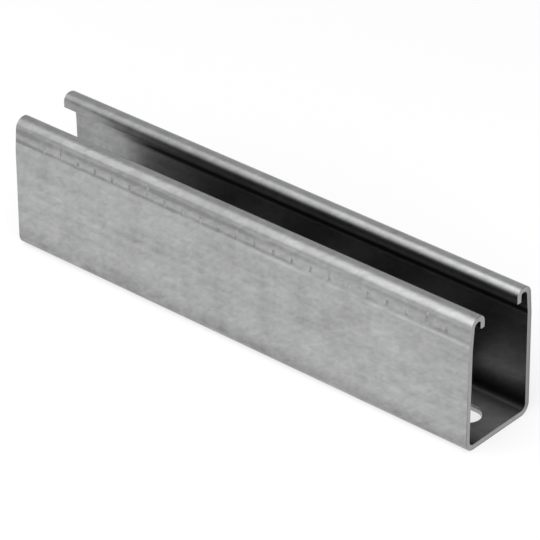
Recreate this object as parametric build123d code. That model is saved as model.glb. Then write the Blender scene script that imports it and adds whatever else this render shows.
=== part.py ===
from build123d import *
import os
from math import cos, radians, sin, tan

# Driving sizes of the rail, in millimetres and degrees
rail_length = 249.0
rail_width = 41.0
rail_height = 62.0
strip_thickness = 2.5
strip_edge_radius = 0.5

# Both walls lean in slightly, and a little more above a shoulder line near the top
wall_lean = 0.6
shoulder_lean = 4.9
shoulder_drop = 14.0

# The lips run in from the tops of the walls and turn down on both sides of the mouth
lip_width = 8.4
lip_flat = 0.4
lip_depth = 6.5

# Inside radii of the bends; the bend from wall to lip takes what is left of the lip's width
base_bend_radius = 2.5
shoulder_bend_radius = 27.5
lip_tip_bend_radius = 1.1

# The row of long slots, punched through the base from the inside
slot_pitch = 50.0
slot_length = 30.0
slot_width = 12.0
slot_rim_radius = 0.7


def outer_corners():
    # Corners of one half of the outside, seen along the rail: base, shoulder, top and lip tip
    lean = radians(wall_lean)
    bend = base_bend_radius + strip_thickness
    # The rail is widest on its base bends, a little inside the foot of the leaning wall
    foot = rail_width / 2 + bend * ((1 + sin(lean)) / cos(lean) - 1)
    shoulder_height = rail_height - shoulder_drop
    shoulder = foot - tan(lean) * shoulder_height
    top = shoulder - tan(radians(shoulder_lean)) * shoulder_drop
    mouth = top - lip_width
    return [
        Vector(foot, 0),
        Vector(shoulder, shoulder_height),
        Vector(top, rail_height),
        Vector(mouth, rail_height),
        Vector(mouth, rail_height - lip_depth),
    ]


def left_of(start, end):
    # Unit vector to the left of the run from start to end, which points into the strip
    run = (end - start).normalized()
    return Vector(-run.Y, run.X)


def inner_corners(outer):
    # The same corners on the inside of the bends, one strip thickness away
    path = [Vector(0, 0)] + outer
    inner = []
    for before, corner, after in zip(path, path[1:], path[2:]):
        into = left_of(before, corner)
        out_of = left_of(corner, after)
        inner.append(corner + (into + out_of) * (strip_thickness / (1 + into.dot(out_of))))
    inner.append(outer[-1] + left_of(outer[-2], outer[-1]) * strip_thickness)
    return inner


def inside_bend_radii():
    # From the base to the lip: base bend, shoulder bend, wall to lip, and down into the tip
    tip_bend_run = lip_tip_bend_radius + strip_thickness
    wall_bend_run = lip_width - lip_flat - tip_bend_run
    wall_bend_turn = radians(90 - shoulder_lean)
    lip_wall_bend_radius = wall_bend_run / tan(wall_bend_turn / 2) - strip_thickness
    return [base_bend_radius, shoulder_bend_radius, lip_wall_bend_radius, lip_tip_bend_radius]


def section():
    # Closed outline of the rolled strip, the same on both sides of the rail's middle
    outer = outer_corners()
    inner = inner_corners(outer)
    inside = inside_bend_radii()
    outside = [radius + strip_thickness for radius in inside]
    half = outer + inner[::-1]
    radii = outside + [strip_edge_radius, strip_edge_radius] + inside[::-1]
    mirrored = [Vector(-corner.X, corner.Y) for corner in half[::-1]]
    outline = FilletPolyline(*half, *mirrored, radius=radii + radii[::-1], close=True)
    return make_face(Plane.YZ.offset(-rail_length / 2) * outline)


def slot_places():
    # As many slots as the length takes, centred on the rail
    count = int((rail_length - slot_length) // slot_pitch) + 1
    return GridLocations(slot_pitch, slot_pitch, count, 1)


def punch_slots(rail):
    # Long holes through the base, their inner rims drawn down by the punch
    slot = extrude(SlotOverall(slot_length, slot_width), amount=strip_thickness)
    rail = rail - [place * slot for place in slot_places()]
    punched = rail.faces().filter_by(Axis.Z).filter_by(lambda face: len(face.inner_wires()) > 0)
    floor = punched.sort_by(Axis.Z)[-1]
    rims = floor.inner_wires().edges()
    return fillet(rims, radius=slot_rim_radius)


rail = punch_slots(extrude(section(), amount=rail_length))

os.makedirs("parts", exist_ok=True)
export_step(rail, "parts/rail.step")
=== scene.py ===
import bmesh
import bpy
from math import acos, cos, pi, radians, sin, tan
from mathutils import Matrix, Vector


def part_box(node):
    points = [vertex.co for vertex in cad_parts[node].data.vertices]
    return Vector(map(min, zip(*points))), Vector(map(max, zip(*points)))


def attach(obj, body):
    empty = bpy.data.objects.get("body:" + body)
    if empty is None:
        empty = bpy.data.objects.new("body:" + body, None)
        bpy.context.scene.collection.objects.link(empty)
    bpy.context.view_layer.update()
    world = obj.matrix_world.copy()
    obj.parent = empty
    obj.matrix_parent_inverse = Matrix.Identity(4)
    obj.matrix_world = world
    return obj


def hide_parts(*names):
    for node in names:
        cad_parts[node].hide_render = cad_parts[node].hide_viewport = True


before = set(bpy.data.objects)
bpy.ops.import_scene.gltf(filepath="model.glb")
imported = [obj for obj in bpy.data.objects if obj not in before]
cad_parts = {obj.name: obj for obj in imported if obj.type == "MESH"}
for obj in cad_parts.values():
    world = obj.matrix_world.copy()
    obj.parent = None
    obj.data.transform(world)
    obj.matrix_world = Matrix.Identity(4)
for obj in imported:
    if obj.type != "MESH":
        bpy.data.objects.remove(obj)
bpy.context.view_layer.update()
railLow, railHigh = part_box("rail")
mm = 0.001


def addObject(name, data):
    thing = bpy.data.objects.new(name, data)
    bpy.context.scene.collection.objects.link(thing)
    return thing


# Camera: the photograph's viewing angle on a long lens

viewpoint = {
    "place": (0.8147, -0.9174, 0.7783),
    "azimuth": radians(41.482),
    "elevation": radians(31.480),
    "roll": radians(-0.489),
    "lens": 229.86,
    "sensor": 36,
}


def makeCamera():
    azimuth, elevation, roll = viewpoint["azimuth"], viewpoint["elevation"], viewpoint["roll"]
    back = Vector((sin(azimuth) * cos(elevation), -cos(azimuth) * cos(elevation), sin(elevation)))
    level = Vector((cos(azimuth), sin(azimuth), 0))
    upright = back.cross(level)
    right = level * cos(roll) + upright * sin(roll)
    up = upright * cos(roll) - level * sin(roll)
    lens = bpy.data.cameras.new("camera")
    lens.lens = viewpoint["lens"]
    lens.sensor_width = viewpoint["sensor"]
    camera = addObject("camera", lens)
    turn = Matrix((right, up, back)).transposed()
    camera.matrix_world = Matrix.Translation(viewpoint["place"]) @ turn.to_4x4()
    bpy.context.scene.camera = camera


# Helpers for node trees, grown meshes and materials

def put(tree, kind, values=None, **settings):
    # One node: each value is a socket to link from, or a plain value for the node's own socket
    node = tree.nodes.new(kind)
    for name, value in settings.items():
        setattr(node, name, value)
    for name, value in (values or {}).items():
        if isinstance(value, bpy.types.NodeSocket):
            tree.links.new(value, node.inputs[name])
        else:
            node.inputs[name].default_value = value
    return node


def calc(tree, kind, first, second=0.0, third=0.0):
    # One Math node, such as ADD or MULTIPLY
    return put(tree, "ShaderNodeMath", {0: first, 1: second, 2: third}, operation=kind).outputs[0]


def vector(tree, **parts):
    # A vector from its X, Y and Z, which are 0 where they aren't given
    return put(tree, "ShaderNodeCombineXYZ", parts).outputs[0]


def part(tree, whole, axis):
    # The X, Y or Z of a vector
    return put(tree, "ShaderNodeSeparateXYZ", {0: whole}).outputs[axis]


def newTree(name, inputs):
    # A Geometry Nodes tree with its named inputs
    tree = bpy.data.node_groups.new(name, "GeometryNodeTree")
    tree.interface.new_socket("Geometry", in_out="INPUT", socket_type="NodeSocketGeometry")
    for label, kind in inputs.items():
        tree.interface.new_socket(label, in_out="INPUT", socket_type="NodeSocket" + kind)
    tree.interface.new_socket("Geometry", in_out="OUTPUT", socket_type="NodeSocketGeometry")
    return tree, tree.nodes.new("NodeGroupInput").outputs


def endTree(tree, geometry, material):
    # Makes copies real, puts the material on and hands the geometry out
    solid = put(tree, "GeometryNodeRealizeInstances", {"Geometry": geometry})
    painted = put(tree, "GeometryNodeSetMaterial", {"Geometry": solid.outputs[0], "Material": material})
    put(tree, "NodeGroupOutput", {"Geometry": painted.outputs[0]})


def emptyMeshObject(name):
    return addObject(name, bpy.data.meshes.new(name))


def makeCurve(name, dimensions, places, closed):
    # Straight pieces from place to place
    curve = bpy.data.curves.new(name, "CURVE")
    curve.dimensions = dimensions
    line = curve.splines.new("POLY")
    line.points.add(len(places) - 1)
    for point, place in zip(line.points, places):
        point.co = (*place, 1)
    line.use_cyclic_u = closed
    return addObject(name, curve)


def growWith(thing, tree, values):
    # Puts the tree on the object, with each input set by its socket's identifier
    modifier = thing.modifiers.new(tree.name, "NODES")
    modifier.node_group = tree
    for item in tree.interface.items_tree:
        if item.in_out == "INPUT" and item.name in values:
            modifier[item.identifier] = values[item.name]


def makePlain(thing):
    # Turns the evaluated object into a plain mesh and takes its modifiers off
    graph = bpy.context.evaluated_depsgraph_get()
    mesh = bpy.data.meshes.new_from_object(thing.evaluated_get(graph), depsgraph=graph)
    thing.modifiers.clear()
    thing.data = mesh
    mesh.name = thing.name


def newMaterial(name):
    material = bpy.data.materials.new(name)
    material.use_nodes = True
    return material, material.node_tree


# Section of the rolled strip, seen along the rail

section = {
    "width": railHigh.y - railLow.y,
    "height": railHigh.z - railLow.z,
    "strip": 2.5 * mm,
    "stripEdge": 0.5 * mm,
    "wallLean": radians(0.6),
    "shoulderLean": radians(4.9),
    "shoulderDrop": 14.0 * mm,
    "lipWidth": 8.4 * mm,
    "lipFlat": 0.4 * mm,
    "lipDepth": 6.5 * mm,
    "baseBend": 2.5 * mm,
    "shoulderBend": 27.5 * mm,
    "tipBend": 1.1 * mm,
    "bendStep": radians(5),
    "runStep": 2.5 * mm,
    "seam": 0.05 * mm,
}


def outerCorners():
    # Corners of one half of the outside: base, shoulder, top and lip tip
    lean = section["wallLean"]
    bend = section["baseBend"] + section["strip"]
    foot = section["width"] / 2 + bend * ((1 + sin(lean)) / cos(lean) - 1)
    shoulderHeight = section["height"] - section["shoulderDrop"]
    shoulder = foot - tan(lean) * shoulderHeight
    top = shoulder - tan(section["shoulderLean"]) * section["shoulderDrop"]
    mouth = top - section["lipWidth"]
    return [
        Vector((foot, 0)),
        Vector((shoulder, shoulderHeight)),
        Vector((top, section["height"])),
        Vector((mouth, section["height"])),
        Vector((mouth, section["height"] - section["lipDepth"])),
    ]


def leftOf(start, end):
    # Unit vector to the left of the run, which points into the strip
    run = (end - start).normalized()
    return Vector((-run.y, run.x))


def innerCorners(outer):
    # The same corners on the inside of the bends, one strip thickness away
    path = [Vector((0, 0))] + outer
    inner = []
    for before, corner, after in zip(path, path[1:], path[2:]):
        into, outOf = leftOf(before, corner), leftOf(corner, after)
        inner.append(corner + (into + outOf) * (section["strip"] / (1 + into.dot(outOf))))
    inner.append(outer[-1] + leftOf(outer[-2], outer[-1]) * section["strip"])
    return inner


def insideBends():
    # Inside radii from the base to the lip; the bend from wall to lip takes what is left of the lip
    tipRun = section["tipBend"] + section["strip"]
    wallRun = section["lipWidth"] - section["lipFlat"] - tipRun
    wallTurn = radians(90) - section["shoulderLean"]
    wallBend = wallRun / tan(wallTurn / 2) - section["strip"]
    return [section["baseBend"], section["shoulderBend"], wallBend, section["tipBend"]]


def roundedCorner(before, corner, after, radius):
    # Points round one bend, from one straight run to the next
    toBefore, toAfter = (before - corner).normalized(), (after - corner).normalized()
    half = acos(max(-1, min(1, toBefore.dot(toAfter)))) / 2
    reach = radius / tan(half)
    middle = corner + (toBefore + toAfter).normalized() * (radius / sin(half))
    start = corner + toBefore * reach - middle
    turn = (pi - 2 * half) * (1 if toAfter.cross(toBefore) > 0 else -1)
    steps = max(2, round(abs(turn) / section["bendStep"]))
    turns = [turn * step / steps for step in range(steps + 1)]
    return [middle + Matrix.Rotation(angle, 2) @ start for angle in turns]


def outlinePoints():
    # Closed outline from the middle of the base's underside, up the back wall first
    outer = outerCorners()
    inside = insideBends()
    outside = [bend + section["strip"] for bend in inside]
    half = outer + innerCorners(outer)[::-1]
    bends = outside + [section["stripEdge"]] * 2 + inside[::-1]
    corners = half + [Vector((-corner.x, corner.y)) for corner in half[::-1]]
    path = [Vector((0, 0))]
    for place, radius in enumerate(bends + bends[::-1]):
        after = corners[(place + 1) % len(corners)]
        path += roundedCorner(corners[place - 1], corners[place], after, radius)
    path.append(Vector((-section["seam"], 0)))
    filled = path[:1]
    for start, end in zip(path, path[1:]):
        steps = max(1, round((end - start).length / section["runStep"]))
        filled += [start.lerp(end, step / steps) for step in range(1, steps + 1)]
    return filled


def lengthTo(path, height, face="outside"):
    # Distance along the outline to that height on a face of the front wall or of its lip
    gone = 0
    places = []
    for start, end in zip(path, path[1:]):
        if start.x < 0 and min(start.y, end.y) <= height < max(start.y, end.y):
            places.append(gone + (start.y - height) / (start.y - end.y) * (end - start).length)
        gone += (end - start).length
    # The first crossing is inside the wall, the last outside it, and the one before that on the lip
    return places[{"inside": 0, "lip": -2, "outside": -1}[face]]


def makeSectionCurve(path):
    thing = makeCurve("section", "2D", [(place.x, place.y, 0) for place in path], True)
    thing.data.fill_mode = "NONE"
    return thing


# Punch that cuts the base slots, with a flare that leaves their rims rounded

slots = {
    "pitch": 50 * mm,
    "length": 30 * mm,
    "width": 12 * mm,
    "rim": 0.7 * mm,
    "rimSteps": 6,
    "rimTurn": radians(80),
    "rimRise": 0.01 * mm,
    "roundSteps": 28,
    "overrun": 1.5 * mm,
}


def punchLevels():
    # Height and offset of each ring of the punch
    rim, steps = slots["rim"], slots["rimSteps"]
    foot = section["strip"] - rim
    levels = [(-slots["overrun"], 0), (foot, 0)]
    for step in range(1, steps):
        angle = slots["rimTurn"] * step / (steps - 1)
        levels.append((foot + rim * sin(angle), rim - rim * cos(angle)))
    levels.append((section["strip"] + slots["rimRise"], rim))
    levels.append((section["strip"] + slots["overrun"], rim))
    return levels


def makePunch():
    # Rings in the slot's shape, one for each level, joined into a closed solid
    shape = bmesh.new()
    reach = (slots["length"] - slots["width"]) / 2
    rings = []
    for height, offset in punchLevels():
        radius = slots["width"] / 2 + offset
        ring = []
        for side in (1, -1):
            for step in range(slots["roundSteps"] + 1):
                angle = pi * step / slots["roundSteps"] - pi / 2
                spot = (side * (reach + radius * cos(angle)), side * radius * sin(angle), height)
                ring.append(shape.verts.new(spot))
        rings.append(ring)
    for low, high in zip(rings, rings[1:]):
        for place in range(len(low)):
            shape.faces.new((low[place - 1], low[place], high[place], high[place - 1]))
    shape.faces.new(rings[0])
    shape.faces.new(rings[-1])
    bmesh.ops.recalc_face_normals(shape, faces=shape.faces)
    punch = emptyMeshObject("punch")
    shape.to_mesh(punch.data)
    shape.free()
    return punch


# The rail: the section swept along X, with its slots cut and its sawn ends slightly broken

rail = {
    "length": railHigh.x - railLow.x,
    "pieces": 60,
    "slotCount": int((railHigh.x - railLow.x - slots["length"]) // slots["pitch"]) + 1,
    "endEdge": 0.2 * mm,
    "endEdgeSteps": 4,
    "sharpAngle": radians(35),
}


def makeRunCurve():
    # Straight line along the rail, with close points at both ends where the edges are rounded
    half, edge, steps = rail["length"] / 2, rail["endEdge"], rail["endEdgeSteps"]
    end = [half - edge + edge * cos(pi / 2 * step / steps) for step in range(steps + 1)]
    span = half - edge
    middle = [span - 2 * span * piece / rail["pieces"] for piece in range(1, rail["pieces"])]
    places = [-place for place in end] + middle[::-1] + end[::-1]
    return makeCurve("run", "3D", [(place, 0, 0) for place in places], False)


def railTree():
    tree, given = newTree("rolled rail", {
        "Section": "Object",
        "Run": "Object",
        "Length": "Float",
        "End Edge": "Float",
        "Punch": "Object",
        "Slot Pitch": "Float",
        "Slot Count": "Int",
        "Material": "Material",
    })
    # The run is turned so that the section stands upright along it
    run = put(tree, "GeometryNodeObjectInfo", {"Object": given["Run"]})
    level = put(tree, "GeometryNodeSetCurveNormal", {"Curve": run.outputs["Geometry"]}, mode="Z_UP")
    upright = put(tree, "GeometryNodeSetCurveTilt", {"Curve": level.outputs[0], "Tilt": pi})
    # Each point keeps its distance along the rail, its distance round the section and its heading
    alongRun = put(tree, "GeometryNodeCaptureAttribute", {"Geometry": upright.outputs[0]})
    alongRun.capture_items.new("FLOAT", "Along")
    tree.links.new(put(tree, "GeometryNodeSplineParameter").outputs["Length"], alongRun.inputs[1])
    profile = put(tree, "GeometryNodeObjectInfo", {"Object": given["Section"]})
    across = put(tree, "GeometryNodeCaptureAttribute", {"Geometry": profile.outputs["Geometry"]})
    across.capture_items.new("FLOAT", "Across")
    across.capture_items.new("VECTOR", "Heading")
    tree.links.new(put(tree, "GeometryNodeSplineParameter").outputs["Length"], across.inputs[1])
    tree.links.new(put(tree, "GeometryNodeInputTangent").outputs[0], across.inputs[2])
    swept = put(tree, "GeometryNodeCurveToMesh", {
        "Curve": alongRun.outputs[0],
        "Profile Curve": across.outputs[0],
        "Fill Caps": True,
    })
    # The outline draws in towards both ends, so that the sawn edges are rounded
    toFar = calc(tree, "SUBTRACT", given["Length"], alongRun.outputs[1])
    toEnd = calc(tree, "MINIMUM", alongRun.outputs[1], toFar)
    left = calc(tree, "MAXIMUM", calc(tree, "SUBTRACT", given["End Edge"], toEnd), 0.0)
    squared = calc(tree, "MULTIPLY", given["End Edge"], given["End Edge"])
    remaining = calc(tree, "SUBTRACT", squared, calc(tree, "MULTIPLY", left, left))
    rounding = calc(tree, "SQRT", calc(tree, "MAXIMUM", remaining, 0.0))
    inset = calc(tree, "SUBTRACT", given["End Edge"], rounding)
    sideways = calc(tree, "MULTIPLY", part(tree, across.outputs[2], "Y"), -1.0)
    inward = vector(
        tree,
        Y=calc(tree, "MULTIPLY", sideways, inset),
        Z=calc(tree, "MULTIPLY", part(tree, across.outputs[2], "X"), inset),
    )
    drawn = put(tree, "GeometryNodeSetPosition", {"Geometry": swept.outputs[0], "Offset": inward})
    # The strip laid flat: X along the rail and Y round the section, for the material
    mapped = put(tree, "GeometryNodeStoreNamedAttribute", {
        "Geometry": drawn.outputs[0],
        "Name": "strip",
        "Value": vector(tree, X=alongRun.outputs[1], Y=across.outputs[1]),
    }, data_type="FLOAT2", domain="CORNER")
    # The punches stand in one row, centred on the rail
    firstSlot = calc(tree, "MULTIPLY", calc(tree, "SUBTRACT", given["Slot Count"], 1.0), -0.5)
    row = put(tree, "GeometryNodeMeshLine", {
        "Count": given["Slot Count"],
        "Start Location": vector(tree, X=calc(tree, "MULTIPLY", firstSlot, given["Slot Pitch"])),
        "Offset": vector(tree, X=given["Slot Pitch"]),
    })
    punch = put(tree, "GeometryNodeObjectInfo", {"Object": given["Punch"]})
    punches = put(tree, "GeometryNodeInstanceOnPoints", {
        "Points": row.outputs[0],
        "Instance": punch.outputs["Geometry"],
    })
    cut = put(tree, "GeometryNodeMeshBoolean", {
        "Mesh 1": mapped.outputs[0],
        "Mesh 2": punches.outputs[0],
    }, operation="DIFFERENCE", solver="EXACT")
    smooth = put(tree, "GeometryNodeSetShadeSmooth", {"Geometry": cut.outputs[0]})
    endTree(tree, smooth.outputs[0], given["Material"])
    return tree


def makeRail(sectionCurve, runCurve, punch, material):
    thing = emptyMeshObject("rolledRail")
    growWith(thing, railTree(), {
        "Section": sectionCurve,
        "Run": runCurve,
        "Length": rail["length"],
        "End Edge": rail["endEdge"],
        "Punch": punch,
        "Slot Pitch": slots["pitch"],
        "Slot Count": rail["slotCount"],
        "Material": material,
    })
    makePlain(thing)
    thing.data.set_sharp_from_angle(angle=rail["sharpAngle"])
    shading = thing.modifiers.new("flat runs stay flat", "WEIGHTED_NORMAL")
    shading.keep_sharp = True
    makePlain(thing)
    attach(thing, "root")
    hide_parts("rail")
    return thing


# Galvanised steel: dull zinc with lines from the rolls, soft blotches, streaks and bright specks, and
# painted shade, highlights and reflections in bands

zinc = {
    "dark": (0.240, 0.240, 0.245, 1),
    "light": (0.480, 0.482, 0.484, 1),
    # Darker copies of the zinc for the inside of the channel, as painted shade
    "darkShadedInside": (0.117, 0.117, 0.120, 1),
    "lightShadedInside": (0.270, 0.271, 0.274, 1),
    "farEndInsideShade": 0.6,
    "tone": 0.62,
    "insideFrom": 61.6 * mm,
    "lipFade": 2.8 * mm,
    "insideTo": 6.0 * mm,
    "baseFade": 4.0 * mm,
    "blotches": {"perMetre": (22, 42, 42), "detail": 2, "amount": 0.45},
    "clouds": {"perMetre": (75, 130, 130), "detail": 1, "amount": 0.42},
    "ripples": {"perMetre": (160, 350, 0), "detail": 2, "warp": 0.8, "amount": 0.7, "relief": 1.0},
    "rippleTurn": radians(28),
    "mottle": {"perMetre": (420, 620, 620), "detail": 1, "amount": 0.3},
    "wideRollLines": {"perMetre": (3, 190, 0), "detail": 1, "amount": 0.26, "relief": 0.8},
    "fineRollLines": {"perMetre": (10, 430, 0), "detail": 0, "amount": 0.22},
    "streaks": {"perMetre": (150, 14, 0), "detail": 2, "amount": 0.3},
    "specks": {"perMetre": 75, "cellPart": 0.045, "chance": 0.15, "amount": 0.6},
    # Bands along both walls: lines left by the rolls at 52.2 and 55.0 mm, a dark painted reflection at
    # 56.9 mm, a painted highlight at 50.3 mm and painted shade at the foot
    "rollLinesAndPaintedLight": (
        {"height": 56.9 * mm, "width": 2.2 * mm, "far": -0.55, "near": -0.22},
        {"height": 52.2 * mm, "width": 1.5 * mm, "far": -0.55, "near": -0.28},
        {"height": 50.3 * mm, "width": 1.1 * mm, "far": 0.0, "near": 0.34},
        {"height": 55.0 * mm, "width": 4.5 * mm, "far": -0.15, "near": -0.10},
        {"height": 2.0 * mm, "width": 12.0 * mm, "far": -0.50, "near": -0.42},
    ),
    "marksChange": (110 * mm, 185 * mm),
    "bandPatchiness": 3.0,
    # Painted shade: near-black bands under the lips, along their lower edges, in and above the inner base
    # bends and up the low walls
    "paintedShade": (0.010, 0.010, 0.010, 1),
    "paintedShadeBands": (
        {"face": "inside", "height": 49.3 * mm, "width": 2.6 * mm, "amount": 1.3},
        {"face": "inside", "height": 5.5 * mm, "width": 14.0 * mm, "amount": 0.95},
        {"face": "inside", "height": 22.0 * mm, "width": 16.0 * mm, "amount": 0.25},
        {"face": "lip", "height": 55.7 * mm, "width": 2.8 * mm, "amount": 0.8},
    ),
    "farEnd": (15 * mm, 60 * mm),
    "paintedShadeRoughness": 0.25,
    "baseRoughness": 0.20,
    "baseReach": 18.0 * mm,
    "roughness": 0.30,
    "roughnessSpread": 0.15,
    "anisotropy": 0.55,
    "acrossTheRolls": 0.25,
    "reliefDepth": 0.02 * mm,
    "reliefStrength": 0.2,
}


# The sawn ends: bare steel, with painted shade along the outer edge and at the back wall

sawn = {
    "color": (0.36, 0.36, 0.365, 1),
    # Painted shade along the outer edges of the cut and at the back wall
    "edgeShadeColor": (0.17, 0.17, 0.175, 1),
    "edgeWidth": 0.9 * mm,
    "backShadeColor": (0.24, 0.24, 0.243, 1),
    "backFrom": 15.0 * mm,
    "roughness": 0.45,
    "marks": {"perMetre": (0, 240, 1900), "detail": 2},
    "facing": (0.6, 0.85),
}


def noiseOf(tree, place, pattern):
    # Soft noise from about -0.5 to 0.5, with so many features to the metre each way
    moved = put(tree, "ShaderNodeMapping", {"Vector": place, "Scale": pattern["perMetre"]})
    noise = put(tree, "ShaderNodeTexNoise", {
        "Vector": moved.outputs[0],
        "Scale": 1.0,
        "Detail": pattern["detail"],
        "Distortion": pattern.get("warp", 0.0),
    })
    return calc(tree, "SUBTRACT", noise.outputs["Fac"], 0.5)


def ramp(tree, value, low, high, least=0.0, most=1.0):
    # Softly from least, where the value is low, to most, where it is high
    limits = {"Value": value, "From Min": low, "From Max": high, "To Min": least, "To Max": most}
    return put(tree, "ShaderNodeMapRange", limits, interpolation_type="SMOOTHSTEP").outputs["Result"]


def blend(tree, factor, first, second):
    # Colour from first to second, which a Mix node takes at its sockets 6 and 7
    return put(tree, "ShaderNodeMix", {0: factor, 6: first, 7: second}, data_type="RGBA").outputs[2]


def addUp(tree, start, parts):
    # The start and the sum of each value times its amount
    total = start
    for value, amount in parts:
        total = calc(tree, "MULTIPLY_ADD", value, amount, total)
    return total


def aroundStrip(tree, strip, path):
    # Distance round the outline from the middle of the base, the same on both halves, and the whole of it
    total = sum((end - start).length for start, end in zip(path, path[1:]))
    across = part(tree, strip, "Y")
    return calc(tree, "MINIMUM", across, calc(tree, "SUBTRACT", total, across)), total


def band(tree, around, middle, width):
    # 1 in the middle of a band along the rail, and 0 from its width away
    away = calc(tree, "ABSOLUTE", calc(tree, "SUBTRACT", around, middle))
    return ramp(tree, away, 0.0, width, 1.0, 0.0)


def rollLinesAndPaintedLight(tree, strip, path):
    # Dark and light bands along both walls, each stronger towards one end: partly lines that the rolls
    # leave, partly painted shade, painted highlight and painted reflection
    around, total = aroundStrip(tree, strip, path)
    along = part(tree, strip, "X")
    marks = []
    for mark in zinc["rollLinesAndPaintedLight"]:
        line = band(tree, around, total - lengthTo(path, mark["height"]), mark["width"])
        amount = ramp(tree, along, *zinc["marksChange"], mark["far"], mark["near"])
        marks.append((line, amount))
    return addUp(tree, 0.0, marks)


def paintedShadeMask(tree, strip, path):
    # Painted shade in and above the inner base bends, under the lips and on their edges, but not at the
    # far end
    around, total = aroundStrip(tree, strip, path)
    along = part(tree, strip, "X")
    bands = []
    for spot in zinc["paintedShadeBands"]:
        middle = total - lengthTo(path, spot["height"], spot["face"])
        bands.append((band(tree, around, middle, spot["width"]), spot["amount"]))
    return calc(tree, "MULTIPLY", addUp(tree, 0.0, bands), ramp(tree, along, *zinc["farEnd"]))


def insideShadeMask(tree, strip, path):
    # Painted shade for the inside: 1 on the inside of the lips and walls, fading out towards the base and
    # less at the far end
    around, total = aroundStrip(tree, strip, path)
    along = part(tree, strip, "X")
    first = total - lengthTo(path, zinc["insideFrom"], "lip")
    last = total - lengthTo(path, zinc["insideTo"], "inside")
    fromLip = ramp(tree, around, first, first + zinc["lipFade"])
    toBase = ramp(tree, around, last, last + zinc["baseFade"], 1.0, 0.0)
    fromEnd = ramp(tree, along, *zinc["farEnd"], zinc["farEndInsideShade"], 1.0)
    return calc(tree, "MULTIPLY", calc(tree, "MULTIPLY", fromLip, toBase), fromEnd)


def baseMask(tree, strip, path):
    # 1 along the middle of the base's inside
    around, total = aroundStrip(tree, strip, path)
    return band(tree, around, total / 2, zinc["baseReach"])


def speckles(tree, place):
    # Small bright specks in some cells of a Voronoi pattern
    specks = zinc["specks"]
    cells = put(tree, "ShaderNodeTexVoronoi", {"Vector": place, "Scale": specks["perMetre"]})
    draw = put(tree, "ShaderNodeSeparateColor", {0: cells.outputs["Color"]}).outputs[0]
    few = calc(tree, "LESS_THAN", draw, specks["chance"])
    dot = ramp(tree, cells.outputs["Distance"], 0.0, specks["cellPart"], 1.0, 0.0)
    return calc(tree, "MULTIPLY", few, dot)


def sawnMask(tree):
    # 1 on the faces at the rail's two ends
    normal = put(tree, "ShaderNodeNewGeometry").outputs["True Normal"]
    along = calc(tree, "ABSOLUTE", part(tree, normal, "X"))
    return ramp(tree, along, *sawn["facing"])


def sawnColor(tree, place, sawMarks):
    # Painted shade: darker close to the outside of the section, and at the back wall
    sideways, upwards = part(tree, place, "Y"), part(tree, place, "Z")
    fromSide = calc(tree, "SUBTRACT", section["width"] / 2, calc(tree, "ABSOLUTE", sideways))
    fromTop = calc(tree, "SUBTRACT", section["height"], upwards)
    depth = calc(tree, "MINIMUM", calc(tree, "MINIMUM", fromSide, fromTop), upwards)
    inner = calc(tree, "ADD", ramp(tree, depth, 0.0, sawn["edgeWidth"]), sawMarks)
    backShade = ramp(tree, sideways, sawn["backFrom"], section["width"] / 2)
    middle = blend(tree, backShade, sawn["color"], sawn["backShadeColor"])
    return blend(tree, inner, sawn["edgeShadeColor"], middle)


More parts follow.
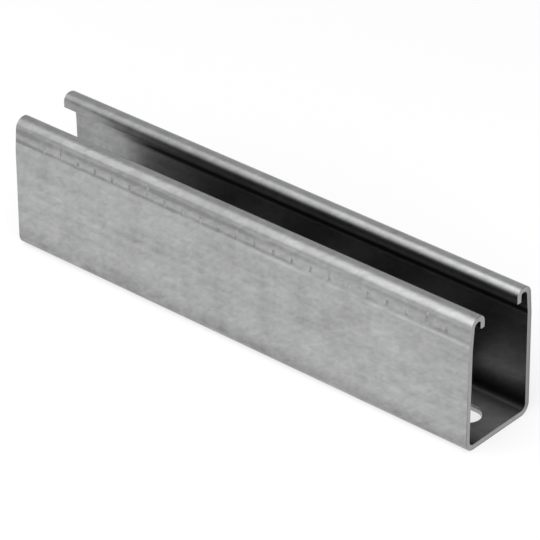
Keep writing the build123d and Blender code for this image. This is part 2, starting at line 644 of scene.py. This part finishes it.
def makeZinc(path):
    material, tree = newMaterial("galvanisedSteel")
    surface = tree.nodes["Principled BSDF"]
    place = put(tree, "ShaderNodeTexCoord").outputs["Object"]
    strip = put(tree, "ShaderNodeUVMap", uv_map="strip").outputs[0]

    noises = {name: noiseOf(tree, place, zinc[name]) for name in ("blotches", "clouds", "mottle")}
    for name in ("wideRollLines", "fineRollLines", "streaks"):
        noises[name] = noiseOf(tree, strip, zinc[name])
    turned = put(tree, "ShaderNodeVectorRotate", {
        "Vector": strip,
        "Angle": zinc["rippleTurn"],
    }, rotation_type="Z_AXIS")
    noises["ripples"] = noiseOf(tree, turned.outputs[0], zinc["ripples"])
    parts = [(noise, zinc[name]["amount"]) for name, noise in noises.items()]
    # The roll bands, partly painted highlight, reflection and shade, are broken up by the clouds
    patchy = calc(tree, "MULTIPLY_ADD", noises["clouds"], zinc["bandPatchiness"], 1.0)
    parts.append((speckles(tree, place), zinc["specks"]["amount"]))
    parts.append((calc(tree, "MULTIPLY", rollLinesAndPaintedLight(tree, strip, path), patchy), 1.0))
    tone = addUp(tree, zinc["tone"], parts)
    outside = blend(tree, tone, zinc["dark"], zinc["light"])
    # The inside of the channel takes the darker copies of the zinc: painted shade
    inside = blend(tree, tone, zinc["darkShadedInside"], zinc["lightShadedInside"])
    withInsideShade = blend(tree, insideShadeMask(tree, strip, path), outside, inside)
    # Near-black painted shade in bands
    paintedShade = paintedShadeMask(tree, strip, path)
    skin = blend(tree, paintedShade, withInsideShade, zinc["paintedShade"])

    end = sawnMask(tree)
    sawMarks = noiseOf(tree, place, sawn["marks"])
    cut = sawnColor(tree, place, sawMarks)
    tree.links.new(blend(tree, end, skin, cut), surface.inputs["Base Color"])

    # Light blotches are smoother, and the painted shade and the inside of the base are rougher
    dull = addUp(tree, zinc["roughness"], [
        (noises["blotches"], -zinc["roughnessSpread"]),
        (paintedShade, zinc["paintedShadeRoughness"]),
        (baseMask(tree, strip, path), zinc["baseRoughness"]),
    ])
    # A Mix node takes plain numbers at its sockets 2 and 3
    rough = put(tree, "ShaderNodeMix", {0: end, 2: dull, 3: sawn["roughness"]})
    tree.links.new(rough.outputs[0], surface.inputs["Roughness"])

    # Gloss spreads across the rolls' lines, which run along X
    lengthwise = vector(tree, X=calc(tree, "SUBTRACT", 1.0, end), Z=end)
    tree.links.new(lengthwise, surface.inputs["Tangent"])
    surface.inputs["Anisotropic"].default_value = zinc["anisotropy"]
    surface.inputs["Anisotropic Rotation"].default_value = zinc["acrossTheRolls"]
    surface.inputs["Metallic"].default_value = 1

    height = addUp(tree, calc(tree, "MULTIPLY", end, sawMarks), [
        (noises[name], zinc[name]["relief"]) for name in ("ripples", "wideRollLines")
    ])
    relief = put(tree, "ShaderNodeBump", {
        "Height": height,
        "Distance": zinc["reliefDepth"],
        "Strength": zinc["reliefStrength"],
    })
    tree.links.new(relief.outputs[0], surface.inputs["Normal"])
    return material


# Scale on the front wall: a mark every 10 mm and a longer one every 50 mm, printed and worn

scale = {
    "pitch": 10 * mm,
    "count": 23,
    "longEvery": 5,
    "firstLong": 1,
    "lastX": 112.8 * mm,
    "foot": 52.1 * mm,
    "longTop": 57.7 * mm,
    "shortTop": 55.0 * mm,
    "width": 1.3 * mm,
    "proud": 0.02 * mm,
    "depth": 0.06 * mm,
    "ink": (0.25, 0.25, 0.255, 1),
    "wornInk": (0.39, 0.39, 0.395, 1),
    "wear": {"perMetre": (90, 420, 420), "detail": 2},
    "wearRange": (-0.12, 0.12),
    "metallic": 0.7,
    "roughness": 0.55,
}


def makeInk():
    material, tree = newMaterial("wornInk")
    surface = tree.nodes["Principled BSDF"]
    place = put(tree, "ShaderNodeTexCoord").outputs["Object"]
    patchy = ramp(tree, noiseOf(tree, place, scale["wear"]), *scale["wearRange"])
    tree.links.new(blend(tree, patchy, scale["ink"], scale["wornInk"]), surface.inputs["Base Color"])
    surface.inputs["Metallic"].default_value = scale["metallic"]
    surface.inputs["Roughness"].default_value = scale["roughness"]
    return material


def scaleTree():
    tree, given = newTree("length scale", {
        "Section": "Object",
        "Foot": "Float",
        "Long Top": "Float",
        "Short Top": "Float",
        "Width": "Float",
        "Depth": "Float",
        "Proud": "Float",
        "Count": "Int",
        "Pitch": "Float",
        "First X": "Float",
        "Long Every": "Int",
        "First Long": "Int",
        "Material": "Material",
    })
    # A mark is a thin bar swept down a short stretch of the section's own outline
    outline = put(tree, "GeometryNodeObjectInfo", {"Object": given["Section"]})
    facing = put(tree, "GeometryNodeSetCurveNormal", {"Curve": outline.outputs["Geometry"]}, mode="Z_UP")
    bar = put(tree, "GeometryNodeCurvePrimitiveQuadrilateral", {
        "Width": given["Depth"],
        "Height": given["Width"],
    })
    lift = calc(tree, "SUBTRACT", given["Proud"], calc(tree, "MULTIPLY", given["Depth"], 0.5))
    lifted = put(tree, "GeometryNodeTransform", {
        "Geometry": bar.outputs[0],
        "Translation": vector(tree, X=lift),
    })
    # Every few marks one is long, and the others are short
    row = put(tree, "GeometryNodeMeshLine", {
        "Count": given["Count"],
        "Start Location": vector(tree, X=given["First X"]),
        "Offset": vector(tree, X=given["Pitch"]),
    })
    place = put(tree, "GeometryNodeInputIndex").outputs[0]
    turn = calc(tree, "SUBTRACT", calc(tree, "ADD", place, given["Long Every"]), given["First Long"])
    isLong = calc(tree, "LESS_THAN", calc(tree, "MODULO", turn, given["Long Every"]), 0.5)
    isShort = calc(tree, "SUBTRACT", 1.0, isLong)
    joined = put(tree, "GeometryNodeJoinGeometry")
    for top, chosen in (("Long Top", isLong), ("Short Top", isShort)):
        # Sockets 4 and 5 take the start and the end as lengths along the curve
        stretch = put(tree, "GeometryNodeTrimCurve", {0: facing.outputs[0]}, mode="LENGTH")
        tree.links.new(given[top], stretch.inputs[4])
        tree.links.new(given["Foot"], stretch.inputs[5])
        mark = put(tree, "GeometryNodeCurveToMesh", {
            "Curve": stretch.outputs[0],
            "Profile Curve": lifted.outputs[0],
            "Fill Caps": True,
        })
        upright = put(tree, "GeometryNodeTransform", {
            "Geometry": mark.outputs[0],
            "Rotation": (pi / 2, 0, pi / 2),
        })
        marks = put(tree, "GeometryNodeInstanceOnPoints", {
            "Points": row.outputs[0],
            "Selection": chosen,
            "Instance": upright.outputs[0],
        })
        tree.links.new(marks.outputs[0], joined.inputs[0])
    endTree(tree, joined.outputs[0], given["Material"])
    return tree


def makeScale(sectionCurve, path, material):
    thing = emptyMeshObject("lengthScale")
    growWith(thing, scaleTree(), {
        "Section": sectionCurve,
        "Foot": lengthTo(path, scale["foot"]),
        "Long Top": lengthTo(path, scale["longTop"]),
        "Short Top": lengthTo(path, scale["shortTop"]),
        "Width": scale["width"],
        "Depth": scale["depth"],
        "Proud": scale["proud"],
        "Count": scale["count"],
        "Pitch": scale["pitch"],
        "First X": scale["lastX"] - (scale["count"] - 1) * scale["pitch"],
        "Long Every": scale["longEvery"],
        "First Long": scale["firstLong"],
        "Material": material,
    })
    makePlain(thing)
    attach(thing, "root")
    return thing


# Studio: a floor lifted to white, two soft boxes up at the front, a fill and an even surround

studio = {
    "surround": 0.585,
    "floorSize": 8.0,
    "floorColor": (0.3, 0.3, 0.3, 1),
    "floorLift": 0.68,
    "floorGap": 0.1 * mm,
    "softBox": {"place": (-0.38, -0.64, 0.90), "size": 1.5, "power": 5.0},
    "key": {"place": (0.05, -0.60, 0.84), "size": 1.2, "power": 5.2},
    "fill": {"place": (0.70, -0.60, 0.45), "size": 0.8, "power": 4.5},
}


def makeSurround():
    world = bpy.data.worlds.new("surround")
    bpy.context.scene.world = world
    world.use_nodes = True
    light = world.node_tree.nodes["Background"]
    light.inputs["Color"].default_value = (1, 1, 1, 1)
    light.inputs["Strength"].default_value = studio["surround"]


def makeFloor():
    shape = bmesh.new()
    bmesh.ops.create_grid(shape, x_segments=1, y_segments=1, size=studio["floorSize"] / 2)
    floor = emptyMeshObject("floor")
    shape.to_mesh(floor.data)
    shape.free()
    floor.location.z = railLow.z - studio["floorGap"]
    material, tree = newMaterial("paleFloor")
    tree.nodes.clear()
    matt = put(tree, "ShaderNodeBsdfDiffuse", {"Color": studio["floorColor"]})
    # The lift makes the floor white to the camera and in what gloss and glass show
    path = put(tree, "ShaderNodeLightPath")
    mirrored = calc(tree, "MAXIMUM", path.outputs["Is Glossy Ray"], path.outputs["Is Transmission Ray"])
    seen = calc(tree, "MAXIMUM", path.outputs["Is Camera Ray"], mirrored)
    lift = put(tree, "ShaderNodeEmission", {
        "Color": (1, 1, 1, 1),
        "Strength": calc(tree, "MULTIPLY", seen, studio["floorLift"]),
    })
    both = put(tree, "ShaderNodeAddShader", {0: matt.outputs[0], 1: lift.outputs[0]})
    put(tree, "ShaderNodeOutputMaterial", {"Surface": both.outputs[0]})
    floor.data.materials.append(material)


def makeLamp(name):
    # A square area lamp that faces the rail
    lamp = bpy.data.lights.new(name, "AREA")
    lamp.shape = "SQUARE"
    lamp.size = studio[name]["size"]
    lamp.energy = studio[name]["power"]
    thing = addObject(name, lamp)
    thing.location = studio[name]["place"]
    toRail = Vector((0, 0, section["height"] / 2)) - Vector(studio[name]["place"])
    thing.rotation_euler = toRail.to_track_quat("-Z", "Y").to_euler()


makeCamera()
print("camera made")
outline = outlinePoints()
sectionCurve = makeSectionCurve(outline)
runCurve = makeRunCurve()
punch = makePunch()
galvanised = makeZinc(outline)
rolledRail = makeRail(sectionCurve, runCurve, punch, galvanised)
print("rail made:", len(rolledRail.data.polygons), "faces")
lengthScale = makeScale(sectionCurve, outline, makeInk())
print("scale made:", len(lengthScale.data.polygons), "faces")
for helper in (sectionCurve, runCurve, punch):
    bpy.data.objects.remove(helper)
makeSurround()
makeFloor()
for name in ("softBox", "key", "fill"):
    makeLamp(name)
print("studio made")
bpy.context.scene.view_settings.view_transform = "Standard"
